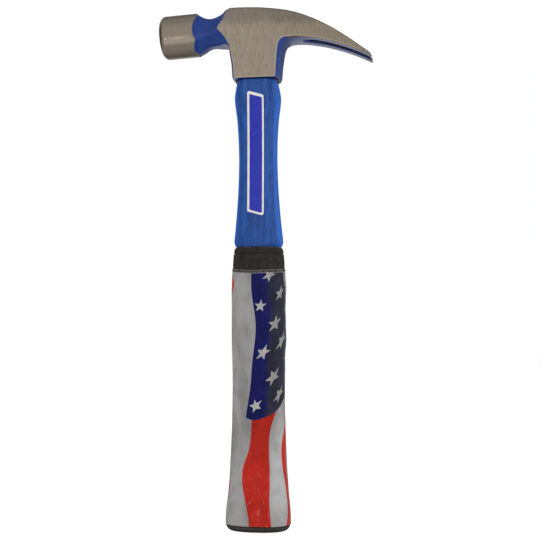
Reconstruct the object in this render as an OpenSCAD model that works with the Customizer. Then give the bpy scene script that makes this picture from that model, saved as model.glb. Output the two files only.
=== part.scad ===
// Straight-claw hammer: forged steel head bonded with epoxy to a jacketed fibreglass handle,
// with a rubber cushion grip inside a printed shrink sleeve.
// Frame: +Z runs up the handle from the butt, -X points to the striking face, +X to the claw,
// Y is across the thickness. The origin is the middle of the flat butt. Millimetres.

/* [Overall] */
// Length from the butt to the top of the head
overall_len = 330; // [310:1:380]

/* [Head] */
// Diameter of the striking bell
bell_d = 27.8; // [26:0.1:28.6]
// Droop of the bell's axis towards the handle, in degrees
bell_cant = 3.5; // [2:0.5:5]
// Bevel round the striking face
face_bevel = 2.2; // [1:0.1:3]
// Rise of the crown on the striking face
face_crown = 0.5; // [0.2:0.1:0.8]
// Thickness over the two ground cheeks
cheek_t = 24.6; // [24:0.1:26]
// Depth of the forged edge behind each ground cheek
edge_depth = 1.1; // [0.6:0.1:2]

/* [Claw] */
// Width of the nail slot at the claw's tip
slot_mouth = 8.5; // [6:0.1:10]
// Width of the nail slot at its root
slot_root = 2.7; // [2:0.1:4]
// Distance of the slot's root from the handle's axis
slot_start = 35; // [33:1:40]
// Depth of the bevel round the slot on the claw's underside
slot_bevel = 1.3; // [0.8:0.1:2]

/* [Eye] */
// Width of the eye along the head
eye_w = 22; // [20:0.1:23]
// Width of the eye across the head
eye_t = 16; // [14:0.1:17]
// Thickness of the epoxy between the eye and the core
bond_t = 1.2; // [0.6:0.1:2]
// Depth of the core's end below the top of the head
core_sink = 4; // [3:0.5:8]
// Thickness of the seal under the head
seal_t = 0.4; // [0.2:0.1:1.5]

/* [Handle] */
// Half width of the jacket's shoulder under the head
shoulder_a = 14.5; // [14:0.1:16]
// Half width of the jacket at its waist
waist_a = 12.1; // [12:0.1:13]
// Half width of the jacket just above the grip
hip_a = 15.3; // [14.5:0.1:16]
// Wall of the jacket where it runs inside the grip
shank_wall = 2; // [1.2:0.1:2.2]
// Squareness of the jacket's section, 2 is an ellipse
jacket_e = 2.9; // [2:0.1:3.5]

/* [Grip] */
// Height of the top of the rubber grip
grip_top = 177.8; // [174:0.1:182]
// Half width of the grip at its palm swell
palm_a = 16.9; // [16.5:0.1:18]
// Half width of the grip at its flared end
flare_a = 20.4; // [20:0.1:22]
// Rubber left under the end of the shank
butt_wall = 10; // [6:1:14]
// Squareness of the grip's section, 2 is an ellipse
grip_e = 2.4; // [2:0.1:3]
// Thickness of the printed shrink sleeve
film_t = 0.3; // [0.2:0.05:0.6]

/* [Label] */
// Width of the label across the handle
label_w = 10.5; // [8:0.1:12]
// Length of the label's long sides
label_len = 76.4; // [50:0.1:80]
// Height of the label's middle
label_z = 236.9; // [235:0.1:240]
// Slant of the label's ends, as rise over the width
label_slant = 2.9; // [0:0.1:4]
// Radius of the label's corners
label_r = 1.2; // [0.5:0.1:2]
// Offset of the label's middle along the head's direction
label_x = -0.3; // [-1.5:0.1:1.5]
// Thickness of the label
label_t = 0.15; // [0.1:0.05:0.3]

/* [Hidden] */
$fn = 64;

head_z = overall_len - 45.5;           // underside of the eye
stretch = head_z - 284.5;              // handle's extra length over the standard one
core_w = eye_w - 2 * bond_t;
core_t = eye_t - 2 * bond_t;
shank_w = core_w + 2 * shank_wall;
shank_t = core_t + 2 * shank_wall;
core_top = overall_len - core_sink;
bell_r = bell_d / 2;
seg = 36;                              // points round each handle section

steel = [0.58, 0.55, 0.50];
paint_blue = [0.13, 0.31, 0.70];
label_blue = [0.16, 0.18, 0.62];
rubber_black = [0.13, 0.13, 0.12];
print_white = [0.70, 0.69, 0.67];
glass_pale = [0.80, 0.82, 0.74];
epoxy_amber = [0.48, 0.34, 0.14];
seal_brown = [0.27, 0.19, 0.10];

// ---- helpers -------------------------------------------------------------

// Point t of the way from p1 to p2 on a curve through p0, p1, p2 and p3
function curve(p0, p1, p2, p3, t) =
    0.5 * (2 * p1 + (p2 - p0) * t + (2 * p0 - 5 * p1 + 4 * p2 - p3) * t * t
           + (3 * p1 - p0 - 3 * p2 + p3) * t * t * t);

// Smooth list through the points, n steps in each span
function smooth(P, n) = let (m = len(P))
    concat([for (i = [0:m - 2]) for (k = [0:n - 1])
        curve(P[max(i - 1, 0)], P[i], P[i + 1], P[min(i + 2, m - 1)], k / n)], [P[m - 1]]);

// Rounded oval of half widths a and b
function oval(a, b, e) = [for (i = [0:seg - 1]) let (c = cos(360 * i / seg), s = sin(360 * i / seg))
    [a * sign(c) * pow(abs(c), 2 / e), b * sign(s) * pow(abs(s), 2 / e)]];

// Rings for stations [z, a, b]
function rings(S, e, grow = 0) = [for (s = S) [for (p = oval(s[1] + grow, s[2] + grow, e)) [p[0], p[1], s[0]]]];

function flat(L) = [for (a = L) for (b = a) b];

// Solid through rings of equal length
module skin(R) {
    n = len(R[0]);
    m = len(R);
    polyhedron(flat(R), concat(
        [[for (i = [0:n - 1]) i]],
        [[for (i = [n - 1:-1:0]) (m - 1) * n + i]],
        [for (j = [0:m - 2]) for (i = [0:n - 1]) [j * n + i, (j + 1) * n + i, (j + 1) * n + (i + 1) % n]],
        [for (j = [0:m - 2]) for (i = [0:n - 1]) [j * n + i, (j + 1) * n + (i + 1) % n, j * n + (i + 1) % n]]));
}

// Tube between outer rings A and inner rings B
module tube(A, B) {
    n = len(A[0]);
    m = len(A);
    o = n * m;
    polyhedron(concat(flat(A), flat(B)), concat(
        [for (j = [0:m - 2]) for (i = [0:n - 1]) [j * n + i, (j + 1) * n + i, (j + 1) * n + (i + 1) % n]],
        [for (j = [0:m - 2]) for (i = [0:n - 1]) [j * n + i, (j + 1) * n + (i + 1) % n, j * n + (i + 1) % n]],
        [for (j = [0:m - 2]) for (i = [0:n - 1]) [o + j * n + i, o + (j + 1) * n + (i + 1) % n, o + (j + 1) * n + i]],
        [for (j = [0:m - 2]) for (i = [0:n - 1]) [o + j * n + i, o + j * n + (i + 1) % n, o + (j + 1) * n + (i + 1) % n]],
        [for (i = [0:n - 1]) [i, (i + 1) % n, o + (i + 1) % n]],
        [for (i = [0:n - 1]) [i, o + (i + 1) % n, o + i]],
        [for (i = [0:n - 1]) let (q = (m - 1) * n) [q + i, o + q + (i + 1) % n, q + (i + 1) % n]],
        [for (i = [0:n - 1]) let (q = (m - 1) * n) [q + i, o + q + i, o + q + (i + 1) % n]]));
}

// Thin plate between an outer sheet A and an inner sheet B, each a list of equal rows
module plate(A, B) {
    n = len(A[0]);
    m = len(A);
    o = n * m;
    edge = concat([for (i = [0:n - 1]) i], [for (j = [1:m - 1]) j * n + n - 1],
        [for (i = [n - 2:-1:0]) (m - 1) * n + i], [for (j = [m - 2:-1:1]) j * n]);
    k = len(edge);
    polyhedron(concat(flat(A), flat(B)), concat(
        [for (j = [0:m - 2]) for (i = [0:n - 2]) [j * n + i, (j + 1) * n + i, (j + 1) * n + i + 1]],
        [for (j = [0:m - 2]) for (i = [0:n - 2]) [j * n + i, (j + 1) * n + i + 1, j * n + i + 1]],
        [for (j = [0:m - 2]) for (i = [0:n - 2]) [o + j * n + i, o + (j + 1) * n + i + 1, o + (j + 1) * n + i]],
        [for (j = [0:m - 2]) for (i = [0:n - 2]) [o + j * n + i, o + j * n + i + 1, o + (j + 1) * n + i + 1]],
        [for (i = [0:k - 1]) [edge[i], edge[(i + 1) % k], o + edge[(i + 1) % k]]],
        [for (i = [0:k - 1]) [edge[i], o + edge[(i + 1) % k], o + edge[i]]]));
}

// Flat oblong of overall width w and thickness t
module oblong(w, t) {
    square([w - t, t], center = true);
    for (s = [-1, 1]) translate([s * (w - t) / 2, 0]) circle(d = t);
}

// ---- head ----------------------------------------------------------------

// Striking bell, turned about its own axis, long enough to reach the neck's waist
module bell() {
    translate([-51.2, 0, 30.4]) rotate([0, -90 - bell_cant, 0])
        rotate_extrude() polygon([[0, -20.2], [bell_r, -20.2], [bell_r, 11.7 - face_bevel], [bell_r - face_bevel, 11.7],
            [bell_r * 0.6, 11.7 + face_crown * 0.5], [bell_r * 0.3, 11.7 + face_crown * 0.9], [0, 11.7 + face_crown]]);
}

// Forged neck: six facets that pinch to a waist and flare to the bell and to the eye.
// Each station is x, then height and half width of the top edge, the side ridge and the bottom edge
neck_stations = [
    [-68, 64, 22, 21.5, 34, -12, 2],
    [-44, 48.8, 15.4, 23.6, 18.8, 13, 2.6],
    [-41.1, 45.6, 12.6, 24.4, 15.2, 15.8, 2.7],
    [-39.7, 44, 10, 25, 13.5, 16.8, 3.3],
    [-38.4, 43, 8.4, 25.8, 12.8, 18.2, 3.8],
    [-36.6, 41.7, 7.4, 26.7, 11.9, 19.7, 4.4],
    [-33.7, 40.3, 6.6, 27.8, 11.2, 21.6, 4.6],
    [-30.6, 39.7, 6.3, 29.1, 10.9, 22.8, 4.6],
    [-27.5, 40.1, 6.7, 30.8, 11.5, 23.2, 5.2],
    [-24.7, 41.1, 7.8, 32.4, 12.7, 23.1, 6.6],
    [-22.1, 42.6, 9, 33, 14.3, 22.8, 8.6],
    [-20.1, 44.3, 10.2, 33.2, 16, 22.2, 9.8],
    [-18, 45, 11.6, 33.2, 18, 20.5, 11],
    [-15, 44, 13.5, 33.2, 21, 17, 12],
    [-11, 42.4, 14.7, 33.2, 23.4, 14.6, 13.6]];

module neck() {
    skin([for (s = neck_stations) [
        [s[0], s[2], s[1]], [s[0], -s[2], s[1]], [s[0], -s[4], s[3]],
        [s[0], -s[6], s[5]], [s[0], s[6], s[5]], [s[0], s[4], s[3]]]]);
}

// Side outline of the forged body at mid thickness, clockwise: top line and claw's back
body_top = [[-17.6, 45.3], [-12.2, 45.5], [-4.5, 45.4], [3.2, 45], [8.3, 44.5], [13.4, 43.8], [18.4, 43], [23.5, 41.8],
    [28.6, 40.2], [33.6, 38.2], [38.7, 36], [43.7, 33.4], [48.7, 30.5], [53.7, 27.3], [58.7, 24], [62.4, 21.3], [66.1, 18.5],
    [68.6, 16.7], [70.6, 15.3], [71.9, 14.3], [72.7, 13.4], [72.9, 12.6]];
// claw's underside, from the tip in, and the inside corner
body_under = [[72.5, 12.1], [70.5, 12.9], [67.7, 14.3], [62.4, 16.7], [57.1, 18.8], [51.8, 20.6], [46.5, 22.2], [41.2, 23.5],
    [37.6, 24.2], [34, 24.6], [30, 24.9], [25.5, 24.9], [22, 24.4], [19.8, 23.5], [18.2, 21.6], [17.1, 18.6], [16.3, 14.3],
    [15.6, 9.8], [15.2, 6], [15, 4]];
// foot and rear wall of the eye block
body_eye = [[14.9, 2.9], [14.5, 1.8], [13.9, 0.9], [12.9, 0.3], [-15.2, 0], [-15.7, 0.3], [-15.9, 0.8], [-16, 1.5],
    [-16.2, 4.5], [-16.5, 8.5], [-17.1, 13], [-17.6, 17.5], [-16, 22]];
// The same points on the ground cheek, which is smaller all round the eye block
cheek_top = [[-17.4, 44.8], [-12.2, 45], [-4.5, 44.9], [3.2, 44.5], [8.3, 44], [13.4, 43.3], [18.4, 42.5], [23.5, 41.3],
    [28.6, 39.7], [33.6, 37.7], [38.7, 35.5], [43.7, 32.9], [48.7, 30], [53.7, 26.8], [58.7, 23.4], [62.4, 20.8], [66.1, 18],
    [68.6, 16.2], [70.4, 14.9], [71.5, 14], [72.3, 13.2], [72.5, 12.6]];
cheek_under = [[72.1, 12.2], [70.5, 12.9], [67.7, 14.3], [62.4, 16.7], [57.1, 18.8], [51.8, 20.6], [46.5, 22.2], [41.2, 23.5],
    [37.6, 24.2], [34, 24.8], [30.5, 25.3], [25.5, 25.6], [20.6, 25.8], [17.3, 25.3], [15.1, 23.8], [13.9, 21.2], [13.2, 15.4],
    [12.7, 9.1], [12.5, 3.8], [12.3, 1]];
cheek_eye = [[12.3, 0.8], [12.2, 0.6], [12.1, 0.5], [12, 0.4], [-13.5, 0.2], [-13.8, 0.3], [-13.9, 0.5], [-14, 0.7],
    [-14.2, 4], [-14.5, 8.7], [-15.4, 13.5], [-16.4, 18.4], [-15.9, 22]];

// Rings from cheek to cheek: full at mid thickness, drawn in slightly to the forged edge, then to the cheek
module forged_body() {
    G = concat(body_top, body_under, body_eye);
    F = concat(cheek_top, cheek_under, cheek_eye);
    h = cheek_t / 2;
    over = 0.2;                                   // runs past the cheek, to be ground off
    levels = [[-h - over, 1 + 0.55 * over / edge_depth], [-h + edge_depth, 0.45], [-h / 2, 0.13],
        [0, 0], [h / 2, 0.13], [h - edge_depth, 0.45], [h + over, 1 + 0.55 * over / edge_depth]];
    skin([for (v = levels) [for (i = [0:len(G) - 1]) let (p = G[i] + (F[i] - G[i]) * v[1]) [p[0], v[0], p[1]]]]);
}

// V-shaped nail slot, cut square to the claw
module nail_slot() {
    translate([slot_start, 0, 30]) rotate([0, 20, 0]) translate([0, 0, -40]) linear_extrude(80) {
        circle(d = slot_root);
        polygon([[0, -slot_root / 2], [0, slot_root / 2], [44, slot_mouth / 2], [44, -slot_mouth / 2]]);
    }
}

// Bevel along both sides of the slot on the underside, from a rounded start to the tip.
// Each station is x from the slot's root, the height of the underside there, and the half width
bevel_stations = [[-3.9, 24.8, 1.6], [-3.2, 24.8, 3], [-1.9, 24.7, 4.2], [0.8, 24.4, 5], [3.8, 24, 5], [6.2, 23.5, 4.9],
    [11.5, 22.2, 4.7], [16.8, 20.6, 4.7], [22.1, 18.8, 4.8], [27.4, 16.7, 5], [32.7, 14.3, 5.2], [35.5, 12.9, 5.3], [40, 10.8, 5.5]];

module slot_bevels() {
    low = 0.6;                                    // starts below the underside
    skin([for (s = bevel_stations) let (w = s[2] * (1 + low / slot_bevel), d = slot_bevel * min(1, s[2] / 3)) [
        [slot_start + s[0], w, s[1] - low], [slot_start + s[0], -w, s[1] - low], [slot_start + s[0], 0, s[1] + d]]]);
}

module hammer_head() color(steel) translate([0, 0, head_z]) difference() {
    intersection() {
        union() { neck(); forged_body(); }
        union() {
            bell();
            translate([-33, -cheek_t / 2, -5]) cube([110, cheek_t, 60]);
        }
    }
    translate([0, 0, -5]) linear_extrude(60) oblong(eye_w, eye_t);
    nail_slot();
    slot_bevels();
}

// Cured adhesive round the core in the eye, with a cap over the core's end
module eye_epoxy() color(epoxy_amber) translate([0, 0, head_z]) difference() {
    linear_extrude(overall_len - 1.2 - head_z) oblong(eye_w, eye_t);
    translate([0, 0, -1]) linear_extrude(core_top - head_z + 1) oblong(core_w, core_t);
}

// Soft ring that dams the liquid adhesive at the underside of the eye
module eye_seal() color(seal_brown) translate([0, 0, head_z - seal_t]) difference() {
    linear_extrude(seal_t) oblong(eye_w + 6, eye_t + 2);
    translate([0, 0, -1]) linear_extrude(seal_t + 2) oblong(core_w, core_t);
}

// ---- handle --------------------------------------------------------------

// Straight pultruded rod, from inside the grip to the top of the eye
module handle_core() color(glass_pale)
    translate([0, 0, butt_wall + 2]) linear_extrude(core_top - butt_wall - 2) oblong(core_w, core_t);

// Stations of the moulded jacket: height, half width, half depth
jacket_top_z = head_z - seal_t;
jacket_stations = smooth([
    [grip_top, hip_a - 1.7, 10.4],
    [grip_top + 0.7, hip_a - 0.7, 11.2],
    [grip_top + 1.9, hip_a - 0.2, 11.7],
    [grip_top + 3.6, hip_a, 12],
    [grip_top + 8.6, hip_a - 0.4, 11.8],
    [196.6, hip_a - 1.4, 11.1],
    [206.9 + stretch * 0.3, (hip_a + waist_a) / 2 - 0.6, 10.6],
    [217.1 + stretch * 0.4, waist_a + 0.4, 10.2],
    [232.5 + stretch * 0.5, waist_a, 9.9],
    [242.9 + stretch * 0.6, waist_a + 0.1, 9.9],
    [253.2 + stretch * 0.8, waist_a + 0.6, 10.2],
    [263.5 + stretch, shoulder_a - 0.9, 10.7],
    [268.7 + stretch, shoulder_a - 0.2, 11],
    [273.9 + stretch, shoulder_a, 11.2],
    [jacket_top_z - 5, shoulder_a - 0.6, 11.2],
    [jacket_top_z - 2.6, shoulder_a - 1.1, 11.1],
    [jacket_top_z - 0.6, shoulder_a - 1.6, 10.9],
    [jacket_top_z, shoulder_a - 2.3, 10.4]], 2);

module handle_jacket() color(paint_blue) difference() {
    union() {
        skin(rings(jacket_stations, jacket_e));
        translate([0, 0, butt_wall]) linear_extrude(grip_top - butt_wall + 0.5) oblong(shank_w, shank_t);
    }
    translate([0, 0, butt_wall + 2]) linear_extrude(overall_len) oblong(core_w, core_t);
}

// Half widths of the jacket at height z
function jacket_at(z, k) = lookup(z, [for (s = jacket_stations) [s[0], s[k]]]);
function jacket_front(x, z) = -jacket_at(z, 2) * pow(1 - pow(abs(x) / jacket_at(z, 1), jacket_e), 1 / jacket_e);

// Columns across the label, closer together at its rounded corners
label_cols = concat([for (q = [0:30:90]) label_r * (1 - cos(q)) - label_w / 2],
    [for (k = [1:4]) (label_w - 2 * label_r) * (k / 5 - 0.5)],
    [for (q = [90:-30:0]) label_w / 2 - label_r * (1 - cos(q))]);
label_rows = 16;

// Height of the label's end at x over its middle: end is 1 for the top and -1 for the bottom
function label_end(x, end) =
    let (m = label_slant / label_w, k = sqrt(1 + m * m), side = x < 0 ? -1 : 1, xc = side * (label_w / 2 - label_r),
         zc = end * (label_len / 2 - label_r * k) - m * xc)
    (x - xc - end * label_r * m / k) * side > 0 ? zc + end * sqrt(max(pow(label_r, 2) - pow(x - xc, 2), 0))
        : end * label_len / 2 - m * x;

// Sheet of points raised off the jacket
function label_sheet(up) = [for (j = [0:label_rows]) [for (x = label_cols)
    let (t = j / label_rows, z = label_z + stretch * 0.5 + label_end(x, -1) * (1 - t) + label_end(x, 1) * t)
    [x + label_x, jacket_front(x + label_x, z) - 0.08 - up, z]]];

// Slanted strip that lies on the jacket's front face, clear of it by a hair of adhesive
module handle_label() color(label_blue) plate(label_sheet(label_t), label_sheet(0));

// ---- grip ----------------------------------------------------------------

// Stations of the rubber grip under the film: the film runs from station 3 to station 14
grip_stations = [
    [0, flare_a - 4.2, 11.4],
    [0.6, flare_a - 2.1, 13.3],
    [2.1, flare_a - 0.6, 14.7],
    [4.1, flare_a, 15.2],
    [11.3, flare_a - 0.2, 15.1],
    [23.9, flare_a - 1.5, 14.6],
    [36.5, flare_a - 2.4, 14.2],
    [49, palm_a + 0.4, 13.9],
    [62, palm_a - 0.1, 13.6],
    [74.4, palm_a - 0.4, 13.5],
    [87, palm_a - 0.6, 13.4],
    [112.4, palm_a - 0.3, 13.5],
    [125, palm_a, 13.6],
    [150.6, palm_a, 13.5],
    [164.1, palm_a - 0.4, 13.2],
    [grip_top - 4.7, palm_a - 0.9, 12.8],
    [grip_top - 4.1, palm_a - 1.5, 12.3],
    [grip_top - 3.4, palm_a - 1.2, 12.5],
    [grip_top - 1.4, palm_a - 1.5, 12.2],
    [grip_top - 0.3, palm_a - 2.3, 11.4],
    [grip_top, palm_a - 3, 10.7]];
film_first = 3;
film_last = 14;
per_span = 2;
grip_fine = smooth(grip_stations, per_span);
film_fine = [for (i = [film_first * per_span:film_last * per_span]) grip_fine[i]];

module grip_sleeve() color(rubber_black) difference() {
    skin(rings(grip_fine, grip_e));
    translate([0, 0, butt_wall]) linear_extrude(overall_len) oblong(shank_w, shank_t);
}

module grip_wrap() color(print_white)
    tube(rings(film_fine, grip_e, film_t), rings(film_fine, grip_e));

hammer_head();
eye_epoxy();
eye_seal();
handle_core();
handle_jacket();
handle_label();
grip_sleeve();
grip_wrap();
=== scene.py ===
import math

import bpy
import numpy as np
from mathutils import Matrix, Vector


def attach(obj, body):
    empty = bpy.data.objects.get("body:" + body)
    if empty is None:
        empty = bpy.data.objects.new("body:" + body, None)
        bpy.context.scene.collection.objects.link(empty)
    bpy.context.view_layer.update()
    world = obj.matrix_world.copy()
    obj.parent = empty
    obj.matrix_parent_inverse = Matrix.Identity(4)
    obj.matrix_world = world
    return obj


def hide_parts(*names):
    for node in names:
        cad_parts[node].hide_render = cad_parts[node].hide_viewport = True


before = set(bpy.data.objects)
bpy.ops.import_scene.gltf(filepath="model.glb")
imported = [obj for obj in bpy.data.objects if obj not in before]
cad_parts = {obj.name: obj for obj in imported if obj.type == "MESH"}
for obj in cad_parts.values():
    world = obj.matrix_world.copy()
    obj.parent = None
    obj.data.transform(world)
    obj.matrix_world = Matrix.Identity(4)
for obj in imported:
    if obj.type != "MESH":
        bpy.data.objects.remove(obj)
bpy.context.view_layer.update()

MM = 0.001
HEAD_Z = 284.5  # underside of the eye block, mm


# ---------------------------------------------------------------- helpers
def catmull(P, n):
    """Smooth curve through the points, n steps in each span."""
    P = np.asarray(P, float)
    m = len(P)
    t = (np.arange(n) / n)[:, None]
    out = []
    for i in range(m - 1):
        p0, p1, p2, p3 = P[max(i - 1, 0)], P[i], P[i + 1], P[min(i + 2, m - 1)]
        out.append(0.5 * (2 * p1 + (p2 - p0) * t + (2 * p0 - 5 * p1 + 4 * p2 - p3) * t**2
                          + (3 * p1 - p0 - 3 * p2 + p3) * t**3))
    out.append(P[-1:])
    return np.concatenate(out)


def smin(a, b, k):
    h = np.maximum(k - np.abs(a - b), 0) / k
    return np.minimum(a, b) - h * h * k * 0.25


def smax(a, b, k):
    h = np.maximum(k - np.abs(a - b), 0) / k
    return np.maximum(a, b) + h * h * k * 0.25


def smoothstep(x, a, b):
    t = np.clip((x - a) / (b - a), 0, 1)
    return t * t * (3 - 2 * t)


def hash01(n):
    """Repeatable pseudo-random numbers from whole numbers."""
    n = np.asarray(n, np.int64)
    n = (n * 374761393 + 668265263) & 0xFFFFFFFF
    n = ((n ^ (n >> 13)) * 1274126177) & 0xFFFFFFFF
    return ((n ^ (n >> 16)) & 0xFFFFFF) / float(0xFFFFFF)


def wobble(x, y, seed, octaves=3):
    """Smooth value noise in 2-D, about -1 to 1."""
    x, y = np.broadcast_arrays(np.asarray(x, float), np.asarray(y, float))
    total, amp, norm = np.zeros(x.shape), 1.0, 0.0
    for o in range(octaves):
        xi, yi = np.floor(x).astype(np.int64), np.floor(y).astype(np.int64)
        fx, fy = x - xi, y - yi
        fx, fy = fx * fx * (3 - 2 * fx), fy * fy * (3 - 2 * fy)
        s = seed * 7919 + o * 104729
        v = lambda i, j: hash01(i * 15731 + j * 789221 + s) * 2 - 1
        total += amp * ((v(xi, yi) * (1 - fx) + v(xi + 1, yi) * fx) * (1 - fy)
                        + (v(xi, yi + 1) * (1 - fx) + v(xi + 1, yi + 1) * fx) * fy)
        norm += amp
        x, y, amp = x * 2.03 + 17.1, y * 2.03 + 5.7, amp * 0.5
    return total / norm


def make_object(name, V, faces, attrs=None, normals=None, smooth=True):
    """Mesh object from points in mm; attrs are float or vector values per point."""
    me = bpy.data.meshes.new(name)
    me.from_pydata((np.asarray(V) * MM).tolist(), [], faces.tolist() if hasattr(faces, "tolist") else faces)
    me.polygons.foreach_set("use_smooth", np.full(len(me.polygons), smooth))
    for key, val in (attrs or {}).items():
        val = np.asarray(val, np.float32)
        if val.ndim == 1:
            me.attributes.new(key, "FLOAT", "POINT").data.foreach_set("value", val)
        else:
            me.attributes.new(key, "FLOAT_VECTOR", "POINT").data.foreach_set("vector", val.ravel())
    me.update()
    if normals is not None:
        me.normals_split_custom_set_from_vertices(np.asarray(normals).tolist())
    ob = bpy.data.objects.new(name, me)
    bpy.context.scene.collection.objects.link(ob)
    return ob


def loft_faces(m, n, closed=True):
    """Quads between m rings of n points."""
    j, i = np.meshgrid(np.arange(m - 1), np.arange(n if closed else n - 1), indexing="ij")
    a, b = j * n + i, j * n + (i + 1) % n
    return np.stack([a, b, b + n, a + n], -1).reshape(-1, 4)


# ---------------------------------------------------------------- shader helper
class Tree:
    def __init__(self, name):
        self.mat = bpy.data.materials.new(name)
        self.mat.use_nodes = True
        self.t = self.mat.node_tree
        self.t.nodes.clear()
        self.out = self.t.nodes.new("ShaderNodeOutputMaterial")
        self.bsdf = self.t.nodes.new("ShaderNodeBsdfPrincipled")
        self.t.links.new(self.bsdf.outputs[0], self.out.inputs["Surface"])
        self._co = None

    def node(self, kind, **props):
        n = self.t.nodes.new(kind)
        for k, v in props.items():
            setattr(n, k, v)
        return n

    def put(self, socket, v):
        if v is None:
            return
        if isinstance(v, bpy.types.NodeSocket):
            self.t.links.new(v, socket)
        else:
            socket.default_value = v

    def math(self, op, a, b=None, c=None, clamp=False):
        n = self.node("ShaderNodeMath", operation=op, use_clamp=clamp)
        for s, v in zip(n.inputs, (a, b, c)):
            self.put(s, v)
        return n.outputs[0]

    def vec(self, op, a, b=None, scale=None):
        n = self.node("ShaderNodeVectorMath", operation=op)
        self.put(n.inputs[0], a)
        self.put(n.inputs[1], b)
        if scale is not None:
            self.put(n.inputs["Scale"], scale)
        return n.outputs["Value"] if op in ("LENGTH", "DOT_PRODUCT", "DISTANCE") else n.outputs["Vector"]

    def xyz(self, v):
        n = self.node("ShaderNodeSeparateXYZ")
        self.put(n.inputs[0], v)
        return n.outputs[0], n.outputs[1], n.outputs[2]

    def join(self, x=0.0, y=0.0, z=0.0):
        n = self.node("ShaderNodeCombineXYZ")
        for s, v in zip(n.inputs, (x, y, z)):
            self.put(s, v)
        return n.outputs[0]

    def mix(self, fac, a, b, blend="MIX"):
        n = self.node("ShaderNodeMix", data_type="RGBA", blend_type=blend)
        self.put(n.inputs[0], fac)
        self.put(n.inputs[6], (*a, 1.0) if isinstance(a, tuple) and len(a) == 3 else a)
        self.put(n.inputs[7], (*b, 1.0) if isinstance(b, tuple) and len(b) == 3 else b)
        return n.outputs[2]

    def mixf(self, fac, a, b):
        n = self.node("ShaderNodeMix", data_type="FLOAT")
        self.put(n.inputs[0], fac)
        self.put(n.inputs[2], a)
        self.put(n.inputs[3], b)
        return n.outputs[0]

    def ramp(self, fac, stops, interp="LINEAR"):
        n = self.node("ShaderNodeValToRGB")
        cr = n.color_ramp
        cr.interpolation = interp
        while len(cr.elements) < len(stops):
            cr.elements.new(0.5)
        for e, (p, c) in zip(cr.elements, stops):
            e.position = p
            e.color = (*c, 1.0) if len(c) == 3 else c
        self.put(n.inputs[0], fac)
        return n.outputs[0]

    def noise(self, vec, scale=1.0, detail=3.0, rough=0.5, distort=0.0):
        n = self.node("ShaderNodeTexNoise")
        self.put(n.inputs["Vector"], vec)
        self.put(n.inputs["Scale"], scale)
        self.put(n.inputs["Detail"], detail)
        self.put(n.inputs["Roughness"], rough)
        self.put(n.inputs["Distortion"], distort)
        return n.outputs["Fac"]

    def span(self, v, a, b, c=0.0, d=1.0, smooth=True):
        n = self.node("ShaderNodeMapRange", interpolation_type="SMOOTHSTEP" if smooth else "LINEAR")
        for key, x in zip(("Value", "From Min", "From Max", "To Min", "To Max"), (v, a, b, c, d)):
            self.put(n.inputs[key], x)
        return n.outputs[0]

    def bump(self, height, strength, distance, normal=None):
        n = self.node("ShaderNodeBump")
        self.put(n.inputs["Strength"], strength)
        self.put(n.inputs["Distance"], distance)
        self.put(n.inputs["Height"], height)
        if normal is not None:
            self.put(n.inputs["Normal"], normal)
        return n.outputs[0]

    def attr(self, name, out="Fac"):
        return self.node("ShaderNodeAttribute", attribute_name=name).outputs[out]

    def mm(self):
        """Object coordinates in mm."""
        if self._co is None:
            co = self.node("ShaderNodeTexCoord").outputs["Object"]
            self._co = self.vec("SCALE", co, scale=1000.0)
        return self._co

    def stretch(self, v, sx, sy, sz):
        return self.vec("MULTIPLY", v, (sx, sy, sz))

    def set(self, **kw):
        names = {"color": "Base Color", "metal": "Metallic", "rough": "Roughness", "ior": "IOR", "spec": "Specular IOR Level",
                 "normal": "Normal", "coat": "Coat Weight", "coat_rough": "Coat Roughness", "sheen": "Sheen Weight",
                 "aniso": "Anisotropic", "aniso_rot": "Anisotropic Rotation", "tangent": "Tangent", "sss": "Subsurface Weight",
                 "coat_normal": "Coat Normal", "trans": "Transmission Weight", "alpha": "Alpha"}
        for k, v in kw.items():
            if isinstance(v, tuple) and len(v) == 3 and k == "color":
                v = (*v, 1.0)
            self.put(self.bsdf.inputs[names[k]], v)
        return self.mat


# ---------------------------------------------------------------- head: shape
# Side outline of the forging at mid thickness, x and height above the eye's underside, mm
TOP = [(-17.6, 45.3), (-12.2, 45.45), (-8.4, 45.45), (-4.5, 45.35), (-0.7, 45.2), (3.2, 45.0), (8.3, 44.45), (13.4, 43.8), (18.4, 42.95),
       (23.5, 41.75), (28.6, 40.2), (33.6, 38.2), (38.7, 35.95), (43.7, 33.35), (48.7, 30.5), (53.7, 27.3), (58.7, 23.95), (62.4, 21.3),
       (66.1, 18.5), (68.6, 16.7), (70.6, 15.25), (71.9, 14.25), (72.7, 13.35), (72.85, 12.6)]
UNDER = [(72.5, 12.1), (70.5, 12.9), (67.7, 14.3), (62.4, 16.7), (57.1, 18.8), (51.8, 20.6), (46.5, 22.2), (41.2, 23.5), (37.6, 24.2),
         (34, 24.65), (30, 24.9), (25.5, 24.9), (22, 24.4), (19.8, 23.5), (18.2, 21.6), (17.1, 18.6), (16.3, 14.3), (15.6, 9.8), (15.2, 6),
         (15, 4)]
FOOT = [(15, 4), (14.9, 2.9), (14.5, 1.8), (13.9, 0.9), (12.9, 0.3), (-15.2, 0.0), (-15.7, 0.3), (-15.9, 0.8), (-16, 1.5)]
WALL = [(-16, 1.5), (-16.2, 4.5), (-16.5, 8.5), (-17.1, 13), (-17.6, 17.5), (-16, 22)]
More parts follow.
